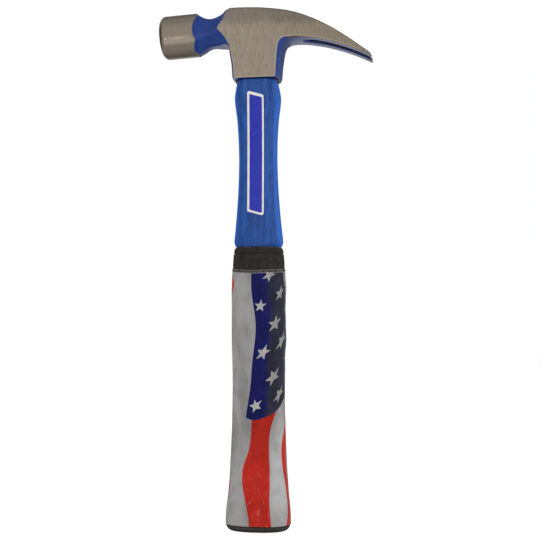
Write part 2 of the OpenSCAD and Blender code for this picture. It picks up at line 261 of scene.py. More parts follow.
# The same outline on the ground cheek
C_TOP = [(-17.4, 44.8), (-12.2, 45.05), (-8.4, 45.0), (-4.5, 44.9), (-0.7, 44.75), (3.2, 44.5), (8.3, 43.95), (13.4, 43.3), (18.4, 42.45),
         (23.5, 41.25), (28.6, 39.7), (33.6, 37.7), (38.7, 35.45), (43.7, 32.85), (48.7, 30.0), (53.7, 26.8), (58.7, 23.4), (62.4, 20.75),
         (66.1, 18.0), (68.6, 16.2), (70.4, 14.85), (71.5, 13.95), (72.25, 13.2), (72.45, 12.6)]
C_UNDER = [(72.1, 12.2), (70.5, 12.9), (67.7, 14.3), (62.4, 16.7), (57.1, 18.8), (51.8, 20.6), (46.5, 22.2), (41.2, 23.5), (37.6, 24.2),
           (34, 24.8), (30.5, 25.3), (25.5, 25.6), (20.6, 25.8), (17.3, 25.3), (15.1, 23.8), (13.9, 21.2), (13.2, 15.4), (12.7, 9.1),
           (12.45, 3.8), (12.3, 1.0)]
C_FOOT = [(12.3, 1.0), (12.28, 0.8), (12.2, 0.6), (12.1, 0.5), (12.0, 0.45), (-13.5, 0.2), (-13.8, 0.25), (-13.95, 0.45), (-14, 0.7)]
C_WALL = [(-14, 0.7), (-14.2, 4), (-14.5, 8.7), (-15.4, 13.5), (-16.4, 18.4), (-15.9, 22)]
# Neck stations: x, then height and half width of the top edge, side ridge and bottom edge
NECK = np.array([
    (-68, 64, 22, 21.5, 34, -12, 10), (-44, 48.8, 15.4, 23.6, 18.8, 13, 2.6), (-41.1, 45.6, 12.6, 24.4, 15.2, 15.8, 2.7),
    (-39.7, 44, 10, 25, 13.5, 16.8, 3.3), (-38.4, 43, 8.4, 25.8, 12.8, 18.2, 3.8), (-36.6, 41.7, 7.4, 26.7, 11.9, 19.7, 4.4),
    (-33.7, 40.3, 6.6, 27.8, 11.2, 21.6, 4.6), (-30.6, 39.7, 6.3, 29.1, 10.9, 22.8, 4.6), (-27.5, 40.1, 6.7, 30.8, 11.5, 23.2, 5.2),
    (-24.7, 41.1, 7.8, 32.4, 12.7, 23.1, 6.6), (-22.1, 42.6, 9, 33, 14.3, 22.8, 8.6), (-20.1, 44.3, 10.2, 33.2, 16, 22.2, 9.8),
    (-18, 45, 11.6, 33.2, 18, 20.5, 11), (-15, 44, 13.5, 33.2, 21, 17, 12), (-10, 42, 15, 33.2, 24, 14, 14)])
HALF_T, EDGE = 12.3, 1.1
BELL_R, BELL_AT, CANT = 13.9, (-51.2, 30.4), math.radians(3.5)
FACE = 11.6  # rim of the striking face along the bell's axis


def outline(parts, n=6):
    pts = np.concatenate([np.asarray(p, float) if p in (FOOT, C_FOOT) else catmull(p, n) for p in parts])
    keep = np.r_[True, np.hypot(*np.diff(pts, axis=0).T) > 1e-6]
    return pts[keep]


def polygon_distance(px, pz, poly):
    """Signed distance to a closed outline, negative inside."""
    best = np.full(px.shape, 1e9, np.float32)
    inside = np.zeros(px.shape, bool)
    a = poly.astype(np.float32)
    b = np.roll(a, -1, 0)
    for (ax, az), (bx, bz) in zip(a, b):
        ex, ez = bx - ax, bz - az
        wx, wz = px - ax, pz - az
        t = np.clip((wx * ex + wz * ez) / max(ex * ex + ez * ez, 1e-12), 0, 1)
        dx, dz = wx - ex * t, wz - ez * t
        np.minimum(best, dx * dx + dz * dz, out=best)
        if az != bz:
            cross = ((az > pz) != (bz > pz)) & (px < (bx - ax) * (pz - az) / (bz - az) + ax)
            inside ^= cross
    d = np.sqrt(best)
    return np.where(inside, -d, d)


class Table2D:
    """Distances on a fine grid in x and height, read back bilinearly."""

    def __init__(self, poly, x0=-70, x1=78, z0=-6, z1=52, step=0.15):
        self.x0, self.z0, self.step = x0, z0, step
        gx = np.arange(x0, x1, step, dtype=np.float32)
        gz = np.arange(z0, z1, step, dtype=np.float32)
        X, Z = np.meshgrid(gx, gz, indexing="ij")
        self.v = polygon_distance(X, Z, poly)

    def __call__(self, x, z):
        u = np.clip((x - self.x0) / self.step, 0, self.v.shape[0] - 1.001)
        w = np.clip((z - self.z0) / self.step, 0, self.v.shape[1] - 1.001)
        i, j = np.floor(u).astype(int), np.floor(w).astype(int)
        fu, fw = u - i, w - j
        v = self.v
        return (v[i, j] * (1 - fu) + v[i + 1, j] * fu) * (1 - fw) + (v[i, j + 1] * (1 - fu) + v[i + 1, j + 1] * fu) * fw


G_LINE, F_LINE = outline([TOP, UNDER, FOOT, WALL]), outline([C_TOP, C_UNDER, C_FOOT, C_WALL])
dist_g, dist_f = Table2D(G_LINE), Table2D(F_LINE)
c_top_line = catmull(C_TOP[:-2], 8)
top_line, under_line = catmull(TOP[:-2], 8), catmull(UNDER[:13], 8)[::-1]
neck_fine = catmull(NECK, 10)


def fuller(xs, ds):
    """Smooth allowance along the neck, for what its rounding takes off."""
    fine = np.linspace(-44, -8, 361)
    w = np.hanning(41)
    d = np.convolve(np.pad(np.interp(fine, xs, ds), 20, mode="edge"), w / w.sum(), "valid")
    return np.interp(neck_fine[:, 0], fine, d)


neck_fine[:, 1] += fuller([-40, -36.7, -34, -31, -29, -25.3, -23.4, -21.5, -19.6, -17], [0.1, 0.4, 0.6, 0.9, 1.0, 1.0, 0.65, 0.45, 0.25, 0])
neck_fine[:, 5] -= fuller([-38, -36, -34.8, -32.5, -29, -25.3, -23.4, -21.5, -19], [0.6, 1.0, 1.15, 0.65, 0.5, 0.5, 0.15, -0.3, -0.45])


def facet(y, h, y0, h0, y1, h1):
    """Distance outside the line from (y0, h0) to (y1, h1), whose outer side is to its right going down."""
    dy, dh = y1 - y0, h1 - h0
    length = np.sqrt(dy * dy + dh * dh)
    return ((y - y0) * -dh + (h - h0) * dy) / length


def bell_coords(x, y, h):
    c, s = math.cos(CANT), math.sin(CANT)
    dx, dh = x - BELL_AT[0], h - BELL_AT[1]
    a = -dx * c - dh * s
    r = np.sqrt((-dx * s + dh * c) ** 2 + y * y)
    return a, r


BEVEL = [-4.2, -3.9, -3.2, -1.9, 0.8, 3.8, 6.2, 11.5, 17, 22, 27, 33, 45], [0, 1.6, 3.0, 4.2, 5.0, 5.0, 4.9, 4.7, 4.7, 4.8, 5.0, 5.2, 5.8]


def slot_coords(x, h):
    c, s = math.cos(math.radians(20)), math.sin(math.radians(20))
    return (x - 35) * c - (h - 30) * s


def head_parts(x, y, h):
    """Fields whose common inside is the head: forging, grinding and turning, eye, slot's bevel, slot."""
    ay = np.abs(y)
    dg, df = dist_g(x, h), dist_f(x, h)
    t = np.where(ay < HALF_T - EDGE, 0.45 * (ay / (HALF_T - EDGE)) ** 2, 0.45 + 0.55 * (ay - HALF_T + EDGE) / EDGE)
    t = t + ((ay / HALF_T) ** 1.3 - t) * smoothstep(x, 22, 32)
    body = dg + (df - dg) * np.minimum(t, 1.15)
    st = [np.interp(x, neck_fine[:, 0], neck_fine[:, k]) for k in range(1, 7)]
    top = h - st[0]
    upper = facet(ay, h, st[1], st[0], st[3], st[2])
    lower = facet(ay, h, st[3], st[2], st[5], st[4])
    bottom = st[4] - h
    neck = smax(smax(top, upper, 3.0), smax(lower, bottom, 1.4), 1.6)
    neck = np.maximum(neck, x + 11)
    solid = smin(neck, body, 0.1 + 2.1 * smoothstep(44.6 - h, 0, 4))
    a, r = bell_coords(x, y, h)
    crown = FACE + 0.45 - r * r * 0.0033
    bevel = (a - FACE + (r - BELL_R + 2.2)) * 0.7071
    bell = np.maximum(smax(smax(r - BELL_R, bevel, 0.9), a - crown, 0.7), -20.2 - a)
    slab = np.maximum(ay - HALF_T, -33.0 - x)
    eye = np.sqrt(np.maximum(np.abs(x) - 3.0, 0) ** 2 + y * y) - 8.0
    u = slot_coords(x, h)
    half = 1.35 + np.clip(u, 0, None) * (2.9 / 44)
    slot = np.where(u > 0, (ay - half) * 0.99, np.sqrt(u * u + ay * ay) - 1.35)
    slot = np.where(x > 24, slot, 5.0)
    # bevel along both sides of the slot on the underside, from a rounded start
    wide = np.interp(u, *BEVEL)
    rise = h - np.interp(x, under_line[:, 0], under_line[:, 1])
    bevel = (rise - 1.3 * np.minimum(1, wide / 3) * (1 - ay / np.maximum(wide, 0.1))) * 0.9
    bevel = np.where((x > 24) & (wide > 0.1), bevel, 5.0)
    return np.broadcast_arrays(solid, np.minimum(bell, slab), -eye, -bevel, -slot)


def head_field(x, y, h):
    """Below 0 inside the head. Arrays broadcast together."""
    solid, ground, eye, bevel, slot = head_parts(x, y, h)
    f = smax(smax(solid, ground, 0.18), eye, 0.6)
    return smax(smax(f, bevel, 0.15), slot, 0.2)


def surface_net(F, x0, y0, z0, step):
    """Quads round the zero level of a grid, one point in each cell that it crosses."""
    S = F < 0
    nx, ny, nz = F.shape
    count = np.zeros((nx - 1, ny - 1, nz - 1), np.int8)
    corner = [(i, j, k) for i in (0, 1) for j in (0, 1) for k in (0, 1)]
    cut = lambda A, c: A[c[0]:nx - 1 + c[0], c[1]:ny - 1 + c[1], c[2]:nz - 1 + c[2]]
    for c in corner:
        count += cut(S, c)
    live = (count > 0) & (count < 8)
    ids = np.full(live.shape, -1, np.int64)
    n = int(live.sum())
    ids[live] = np.arange(n)
    cell = np.argwhere(live).astype(float)
    total, hits = np.zeros((n, 3)), np.zeros(n)
    for ca in corner:
        for axis in range(3):
            if ca[axis]:
                continue
            cb = list(ca)
            cb[axis] = 1
            fa, fb = cut(F, ca)[live], cut(F, tuple(cb))[live]
            m = (fa < 0) != (fb < 0)
            t = fa[m] / (fa[m] - fb[m])
            p = np.array(ca, float) + np.outer(t, np.eye(3)[axis])
            total[m] += p
            hits[m] += 1
    at = np.array([x0, y0, z0])
    V = (cell + total / hits[:, None]) * step + at
    cell = cell * step + at
    quads = []
    for axis in range(3):
        b, c = (axis + 1) % 3, (axis + 2) % 3
        lo, hi = [slice(None)] * 3, [slice(None)] * 3
        lo[axis], hi[axis] = slice(0, -1), slice(1, None)
        inner = [slice(None)] * 3
        inner[b] = inner[c] = slice(1, -1)
        sa, sb = S[tuple(lo)][tuple(inner)], S[tuple(hi)][tuple(inner)]
        e = np.argwhere(sa != sb)
        flip = sa[tuple(e.T)]
        e[:, b] += 1
        e[:, c] += 1
        at = lambda db, dc: ids[tuple(np.stack([e[:, q] - (db if q == b else dc if q == c else 0) for q in range(3)]))]
        q = np.stack([at(1, 1), at(0, 1), at(0, 0), at(1, 0)], 1)
        q[~flip] = q[~flip][:, ::-1]
        quads.append(q)
    return V, np.concatenate(quads), cell


def gradient(fun, V, e):
    out = np.empty_like(V)
    for k in range(3):
        d = np.zeros(3)
        d[k] = e
        out[:, k] = (fun(*(V + d).T) - fun(*(V - d).T)) / (2 * e)
    return out


def snap_edges(V, cell, step):
    """Points moved on to the sharp edge where two fields meet, in the cells that the edge runs through."""
    near = np.sort(np.stack(head_parts(*V.T)), 0)[-2] > -0.45
    P = V[near]
    n = np.arange(len(P))
    pair = np.argsort(np.stack(head_parts(*P.T)), 0)[-2:]
    part = lambda k: (lambda x, y, h: np.stack(head_parts(x, y, h))[pair[k], n])
    for _ in range(4):
        f1, f2 = part(0)(*P.T) + 0.03, part(1)(*P.T) + 0.03
        g1, g2 = gradient(part(0), P, 0.02), gradient(part(1), P, 0.02)
        a, b, c = (g1 * g1).sum(1), (g1 * g2).sum(1), (g2 * g2).sum(1)
        det = a * c - b * b
        ok = det > 0.15 * a * c
        det = np.where(ok, det, 1.0)
        move = ((c * f1 - b * f2) / det)[:, None] * g1 + ((a * f2 - b * f1) / det)[:, None] * g2
        P = P - np.where(ok[:, None], np.clip(move, -0.3, 0.3), 0)
    f = np.stack([part(0)(*P.T), part(1)(*P.T)])
    lo = cell[near]
    inside = ((P > lo - 0.1 * step) & (P < lo + 1.1 * step)).all(1)
    good = ok & inside & (np.abs(f + 0.03) < 0.02).all(0)
    out = V.copy()
    at = np.flatnonzero(near)[good]
    out[at] = P[good]
    return out


def build_head():
    # whole number of cells across the head, with both cheeks in mid-cell
    step = 2 * HALF_T / 54
    x0, y0, z0 = -64.2, -HALF_T - 5.5 * step, -1.5
    gx, gy, gz = np.arange(x0, 74.2, step), np.arange(y0, 15.0, step), np.arange(z0, 47.0, step)
    F = head_field(gx[:, None, None], gy[None, :, None], gz[None, None, :]).astype(np.float32)
    V, Q, cell = surface_net(F, x0, y0, z0, step)
    for _ in range(4):
        f = head_field(*V.T)
        g = gradient(head_field, V, 0.06)
        V = V - g * np.clip(f / np.maximum((g * g).sum(1), 0.05), -0.3, 0.3)[:, None]
    V = snap_edges(V, cell, step)
    g = gradient(head_field, V, 0.12)
    N = g / np.maximum(np.linalg.norm(g, axis=1), 1e-9)[:, None]
    x, y, h = V.T
    a, r = bell_coords(x, y, h)
    cheek = smoothstep(np.abs(y), HALF_T - 0.12, HALF_T - 0.03) * (x > -30)
    bell = np.maximum(smoothstep(r, BELL_R - 0.16, BELL_R - 0.05), smoothstep(a, 3.0, 3.5)) * (x < -34)
    over = h - np.interp(x, top_line[:, 0], top_line[:, 1])
    top = smoothstep(over, -0.75, -0.6) * (x > -17.5) * smoothstep(N[:, 2] + 0.5 * N[:, 0], 0.25, 0.35)
    eye = np.sqrt(np.maximum(np.abs(x) - 3.0, 0) ** 2 + y * y) - 8.0
    top *= smoothstep(eye, 0.0, 0.15)
    steel = np.maximum.reduce([cheek, bell, top])
    # light tan rim on the cheek's lower edges, brown line along its top edge
    from_top = np.interp(x, c_top_line[:, 0], c_top_line[:, 1]) - h
    inner = -dist_f(x, h)
    rim = cheek * (smoothstep(inner, 1.0, 0.2) * (from_top > 3) * (x > -15.5) - smoothstep(from_top, 1.0, 0.2) * (x > -17))
    tip = smoothstep(x, 71.7, 72.1)
    worn = smoothstep(np.abs(y), 9.7, 10.9) * (N[:, 2] < -0.5) * (np.abs(y) < HALF_T - 0.1) * smoothstep(x, 19, 24)
    steel = np.maximum.reduce([steel, tip, 0.85 * worn])
    rim = np.where(worn > 0.01, -0.9 * worn, rim)
    rim = np.where(tip > 0.01, -0.55 * tip, rim)
    half = 1.35 + np.clip(slot_coords(x, h), 0, None) * (2.9 / 44)
    rise = h - np.interp(x, under_line[:, 0], under_line[:, 1])
    # painted shade: the enamel inside the claw's slot is darkened toward black, where the slot's walls lie in shade
    slot_shade = smoothstep(np.abs(y), half + 2.2, half + 0.2) * (x > 33) * smoothstep(rise, 0.05, 0.7) * (1 - tip)
    zone = np.where(x < -34, 1.0, np.where(np.abs(y) > HALF_T - 0.2, 0.0, 2.0))
    V = V + np.array([0, 0, HEAD_Z])
    return make_object("hammer_head_forging", V, Q, {"steel": steel, "zone": zone, "rim": rim, "slot_shade": slot_shade}, N)


# ---------------------------------------------------------------- handle: shape
# Jacket stations: height, half width, half depth, mm
JACKET = catmull([
    (177.2, 12.6, 9.4), (177.4, 13.4, 10.0), (178.2, 14.3, 10.8), (179.5, 15.0, 11.4), (181.3, 15.34, 11.7), (183.8, 15.2, 11.65),
    (186.4, 14.88, 11.5), (191.5, 14.4, 11.2), (196.6, 13.89, 10.8), (201.7, 13.47, 10.55), (206.9, 13.1, 10.3), (212, 12.75, 10.1),
    (217.1, 12.52, 9.95), (222.3, 12.3, 9.8), (232.5, 12.06, 9.6), (242.9, 12.2, 9.65), (248, 12.4, 9.75), (253.2, 12.68, 9.9),
    (258.4, 13.07, 10.1), (263.5, 13.63, 10.4), (268.7, 14.28, 10.7), (273.9, 14.5, 10.9), (279.1, 13.6, 10.9), (281.5, 13.15, 10.85),
    (283, 12.8, 10.8), (283.8, 12.5, 10.65), (284.25, 12.25, 10.35), (284.45, 11.5, 9.8)], 8)
JACKET[:, 0] = np.maximum.accumulate(JACKET[:, 0])


def lean(z):
    """Small sideways lean of the handle, mm."""
    return np.interp(z, [0, 15, 30, 110, 185, 215, 250, 274, 284], [-0.05, -0.05, 0.2, 0.2, 0.2, -0.03, -0.25, -0.35, -0.45])


def jacket_section(a, b, flat=0.5, side=0.4):
    """One closed section: flat front and back, slanted shoulders, flat sides, all with soft ridges."""
    w, c = a * flat, b * side
    A, B, C, D = np.array([0, -b]), np.array([w, -b]), np.array([a, -c]), np.array([a, 0.0])
    cut = lambda p, q, d: p + (q - p) * min(0.48, d / max(np.linalg.norm(q - p), 1e-6))
    line = lambda p, q, n: p + (q - p) * (np.arange(n) / n)[:, None]
    def bend(p, m, q, n):
        t = (np.arange(n) / n)[:, None]
        return (1 - t) ** 2 * p + 2 * t * (1 - t) * m + t * t * q
    B1, B2, C1, C2 = cut(B, A, 2.0), cut(B, C, 2.0), cut(C, B, 3.6), cut(C, D, 3.6)
    quad = np.concatenate([line(A, B1, 8), bend(B1, B, B2, 9), line(B2, C1, 5), bend(C1, C, C2, 12), line(C2, D, 6)])
    crown = 0.28 * np.clip(1 - (quad[:, 0] / w) ** 2, 0, 1)
    quad[:, 1] -= crown
    q2 = np.stack([quad[:, 0], -quad[:, 1]], 1)[::-1]
    right = np.concatenate([quad, D[None], q2[:-1], q2[-1:]])
    left = np.stack([-right[:, 0], right[:, 1]], 1)[::-1][1:-1]
    return np.concatenate([right, left])


def build_jacket():
    rings, edge = [], []
    for z, a, b in JACKET:
        q = smoothstep(z, 262, 281)
        s = jacket_section(a, b, 0.5 + 0.2 * q, 0.4 + 0.12 * q)
        edge.append(np.abs(s[:, 0]) / a)
        rings.append(np.column_stack([s[:, 0] + lean(z), s[:, 1], np.full(len(s), z)]))
    rings = np.array(rings)
    m, n = rings.shape[:2]
    # slight unevenness of a hand-dipped coat
    d = wobble(rings[..., 0] * 0.12 + 40, rings[..., 2] * 0.05, 3) * 0.05
    centre = np.array([0, 0, 0.0])
    flat = rings.copy()
    flat[..., 2] = 0
    out = (flat - centre) / np.maximum(np.linalg.norm(flat - centre, axis=-1, keepdims=True), 1e-6)
    rings = rings + out * d[..., None]
    return make_object("handle_jacket_shell", rings.reshape(-1, 3), loft_faces(m, n), {"edge": np.array(edge).ravel()})


front_z = JACKET[:, 0]
front_b = JACKET[:, 2] + 0.28


def build_label():
    w, length, slant, mid, r = 10.5, 76.4, 2.9, 236.9, 1.2
    m = slant / w
    k = math.sqrt(1 + m * m)
    q = r * (1 - np.cos(np.linspace(0, math.pi / 2, 9)))
    xs = np.concatenate([-w / 2 + q, np.linspace(-w / 2 + r, w / 2 - r, 13)[1:-1], (w / 2 - q)[::-1]])

    def end(x, up):
        """Height of the end line at x, with both corners rounded; up is 1 for the top end and -1 for the bottom one."""
        z = up * length / 2 - m * x
        for side in (-1, 1):
            xc = side * (w / 2 - r)
            zc = up * (length / 2 - r * k) - m * xc
            near = (x - (xc + up * r * m / k)) * side > 0
            z = np.where(near, zc + up * np.sqrt(np.maximum(r * r - (x - xc) ** 2, 0)), z)
        return z

    nz, nx = 110, len(xs)
    t = (1 - np.cos(np.linspace(0, math.pi, nz)))[:, None] / 2
    z = mid + end(xs, -1)[None] * (1 - t) + end(xs, 1)[None] * t
    x = np.broadcast_to(xs - 0.3, z.shape)
    y = -(np.interp(z, front_z, front_b) - 0.28 * ((x - lean(z)) / (np.interp(z, front_z, JACKET[:, 1]) * 0.5)) ** 2)
    V = np.stack([x, y - 0.14, z], -1).reshape(-1, 3)
    T = np.stack([np.broadcast_to(xs, z.shape), z - mid + m * xs, np.zeros_like(z)], -1).reshape(-1, 3)
    F = loft_faces(nz, nx, False)
    ring = np.concatenate([np.arange(nx), (np.arange(1, nz) * nx + nx - 1), (nz - 1) * nx + np.arange(nx - 2, -1, -1),
                           np.arange(nz - 2, 0, -1) * nx])
    skirt = V[ring] + np.array([0, 0.22, 0])
    n = len(ring)
    side = np.stack([ring, np.roll(ring, -1), len(V) + np.roll(np.arange(n), -1), len(V) + np.arange(n)], 1)[:, ::-1]
    V, T = np.concatenate([V, skirt]), np.concatenate([T, T[ring]])
    return make_object("handle_label_strip", V, np.concatenate([F, side]), {"strip": T})


# Grip stations under the film: height, half width, half depth
GRIP = catmull([
    (4.1, 20.35, 14.9), (11.3, 20.15, 14.8), (17.6, 19.5, 14.5), (23.9, 18.85, 14.3), (30.2, 18.35, 14.1), (36.5, 17.95, 13.9),
    (49.1, 17.3, 13.6), (61.8, 16.8, 13.35), (74.4, 16.45, 13.2), (87, 16.27, 13.1), (99.7, 16.32, 13.1), (112.4, 16.6, 13.2),
    (125.1, 16.85, 13.4), (137.9, 16.8, 13.4), (150.6, 16.85, 13.3), (163.4, 16.45, 13.0), (168, 16.3, 12.9), (173.0, 15.95, 12.65)], 8)
NG = 160


def oval(a, b, e, n=NG, phase=0.0):
    t = 2 * math.pi * np.arange(n) / n - math.pi / 2 + phase
    c, s = np.cos(t), np.sin(t)
    return np.column_stack([a * np.sign(c) * np.abs(c) ** (2 / e), b * np.sign(s) * np.abs(s) ** (2 / e)])


def build_grip():
    """Rubber grip: closed butt, body under the film, collar with a groove and a rolled lip."""
    butt = [(0.0, 2.0, 1.2), (0.0, 8.0, 5.5), (0.0, 13.2, 9.2), (0.0, 15.9, 10.9)]
    for k in range(1, 9):
        t = k / 8 * math.pi / 2
        butt.append((4.1 * (1 - math.cos(t)), 16.2 + 4.15 * math.sin(t), 11.1 + 3.8 * math.sin(t)))
    body = [tuple(s) for s in GRIP[1:]]
    collar = [(173.2, 15.9, 12.6), (173.4, 15.72, 12.45), (173.55, 15.42, 12.2), (173.7, 15.34, 12.12), (173.85, 15.42, 12.2),
              (174.05, 15.58, 12.34), (174.4, 15.66, 12.42), (175.6, 15.6, 12.36), (176.4, 15.4, 12.2), (177.1, 15.0, 11.85),
              (177.6, 14.45, 11.35), (177.8, 13.9, 10.8), (177.7, 13.2, 10.1), (177.3, 12.9, 9.8)]
    S = np.array(butt + body + collar)
    rings = []
    for z, a, b in S:
        s = oval(a, b, 2.4)
        rings.append(np.column_stack([s[:, 0] + lean(z), s[:, 1], np.full(NG, z)]))
    V = np.array(rings)
    m = len(S)
    F = loft_faces(m, NG).tolist()
    F.append(list(range(NG))[::-1])
    return make_object("grip_sleeve_rubber", V.reshape(-1, 3), F)


def build_wrap():
    """Printed shrink film: open at both ends with uneven cut edges, an overlap seam at the back, and small puckers."""
    n = 321
    t = np.linspace(-0.5, 0.5, n)                       # from the back seam round by the front to the seam
    top, bottom = 164.1, 4.2
    m = 260
    w = np.linspace(0, 1, m)
    s = t * 100
    edge_top = top + 0.28 * wobble(s * 0.13, 0.5, 11) + 0.12 * wobble(s * 0.9, 2.5, 12) - 0.9 * smoothstep(np.abs(s), 21, 4)
    edge_bot = bottom + 0.22 * wobble(s * 0.11, 4.5, 13)
    Z = edge_bot[None, :] + (edge_top - edge_bot)[None, :] * w[:, None]
    a = np.interp(Z, GRIP[:, 0], GRIP[:, 1]) + 0.3
    b = np.interp(Z, GRIP[:, 0], GRIP[:, 2]) + 0.3
    # even steps of length round each ring
    th = np.linspace(-math.pi, math.pi, 1441)
    e = 2 / 2.4
    ux, uy = np.sin(th), -np.cos(th)
    ref_x, ref_y = 17.3 * np.sign(ux) * np.abs(ux) ** e, 13.8 * np.sign(uy) * np.abs(uy) ** e
    arc = np.r_[0, np.cumsum(np.hypot(np.diff(ref_x), np.diff(ref_y)))]
    ang = np.interp((t + 0.5) * arc[-1], arc, th)
    sx, cy = np.sin(ang), -np.cos(ang)
    ex, ey = np.sign(sx) * np.abs(sx) ** e, np.sign(cy) * np.abs(cy) ** e
    S = np.broadcast_to(s, Z.shape)
    # puckers where the film shrank over the swell, at the sides and back, and fine creases near the flare
    sides = smoothstep(np.abs(S), 17, 27)
    puck = wobble(S * 0.09, Z * 0.32, 21) * 0.20 * sides * (0.35 + 0.65 * np.exp(-((Z - 118) / 30) ** 2))
    puck += wobble(S * 0.10 + Z * 0.05, Z * 0.42 - S * 0.06, 22) * 0.13 * smoothstep(60 - Z, 0, 40) * (0.3 + 0.7 * sides)
    puck += wobble(S * 0.05, Z * 0.06, 23) * 0.06
    puck += smoothstep(S, 17, 24) * smoothstep(S, 33, 27) * np.interp(Z, [104, 112, 119, 128, 138, 146, 153, 159], [0, -0.1, 0.4, 0.05, -0.2, 0.05, 0.32, 0])
    lip = 0.10 * smoothstep(Z, top - 2.2, top - 0.2) * (1 + wobble(S * 0.5, 0.0, 24))
    seam = 0.22 * smoothstep(np.abs(S), 44.6, 45.0)
    fade = np.clip(np.minimum((Z - edge_bot) / 1.5, (edge_top - Z) / 1.5), 0, 1)
    d = puck * fade + lip + seam
    x = (a + d) * ex + lean(Z)
    y = (b + d) * ey
    V = np.stack([x, y, Z], -1)
    # turned-under rims at both ends give the film its thickness
    rim_t, rim_b = V[-1].copy(), V[0].copy()
    rim_t[:, 0], rim_t[:, 1] = (rim_t[:, 0] - lean(rim_t[:, 2])) * 0.975 + lean(rim_t[:, 2]), rim_t[:, 1] * 0.97
    rim_b[:, 0], rim_b[:, 1] = (rim_b[:, 0] - lean(rim_b[:, 2])) * 0.98 + lean(rim_b[:, 2]), rim_b[:, 1] * 0.975
    V = np.concatenate([rim_b[None], V, rim_t[None]])
    T = np.stack([S, Z, edge_top[None] - Z], -1)
    T = np.concatenate([T[:1], T, T[-1:]])
    F = loft_faces(m + 2, n, False)
    return make_object("grip_wrap_film", V.reshape(-1, 3), F, {"wrap": T.reshape(-1, 3)})


def oblong(w, t, n=72):
    """Closed outline with round ends."""
    r, c = t / 2, (w - t) / 2
    k = n // 2
    a = np.linspace(-math.pi / 2, math.pi / 2, k)
    right = np.column_stack([c + r * np.cos(a), r * np.sin(a)])
    return np.concatenate([right, -right])


def build_seal():
    """Bead of sealing compound squeezed out round the foot of the eye."""
    prof = [(0.0, 283.7), (0.55, 283.62), (0.9, 283.7), (1.0, 283.9), (0.95, 284.15), (0.7, 284.4), (0.3, 284.55), (-0.6, 284.6)]
    base = oblong(27.4, 16.6, 120)
    nrm = base - np.roll(base, 1, 0)
    nrm = np.stack([np.roll(nrm, -1, 0)[:, 1] + nrm[:, 1], -np.roll(nrm, -1, 0)[:, 0] - nrm[:, 0]], 1)
    nrm /= np.linalg.norm(nrm, axis=1, keepdims=True)
    bulge = 0.75 + 0.35 * wobble(base[:, 0] * 0.4, base[:, 1] * 0.4, 31)
    inner = oblong(19.6, 13.6, 120)
    rings = [np.column_stack([inner, np.full(len(base), 283.9)])]
    for d, z in prof:
        rings.append(np.column_stack([base + nrm * (d * bulge)[:, None], np.full(len(base), z)]))
    rings.append(np.column_stack([inner, np.full(len(base), 284.5)]))
    V = np.array(rings)
    V[..., 0] -= 0.5
    return make_object("eye_seal_bead", V.reshape(-1, 3), loft_faces(len(rings), len(base)))


def build_epoxy():
    """Cured adhesive in the eye: a shallow dished top that climbs the wall, and the ring down to the seal."""
    rings = []
    top = HEAD_Z + 44.2
    n = 96
    for k, q in enumerate([0.02, 0.2, 0.4, 0.6, 0.75, 0.86, 0.93, 0.97, 0.99, 1.0]):
        o = oblong(22 - 0.02, 16 - 0.02, n) * q
        rise = 0.55 * q**10 - 0.15 * (1 - q * q) + 0.08 * wobble(o[:, 0] * 0.25, o[:, 1] * 0.25, 41)
        rings.append(np.column_stack([o, np.minimum(top + rise, HEAD_Z + 44.9)]))
    o = oblong(22 - 0.02, 16 - 0.02, n)
    rings.append(np.column_stack([o, np.full(n, HEAD_Z + 40)]))
    rings.append(np.column_stack([o, np.full(n, HEAD_Z + 0.02)]))
    V = np.array(rings)
    F = loft_faces(len(rings), n)[:, ::-1].tolist()
    F.append(list(range(n)))
    return make_object("eye_epoxy_fill", V.reshape(-1, 3), F)


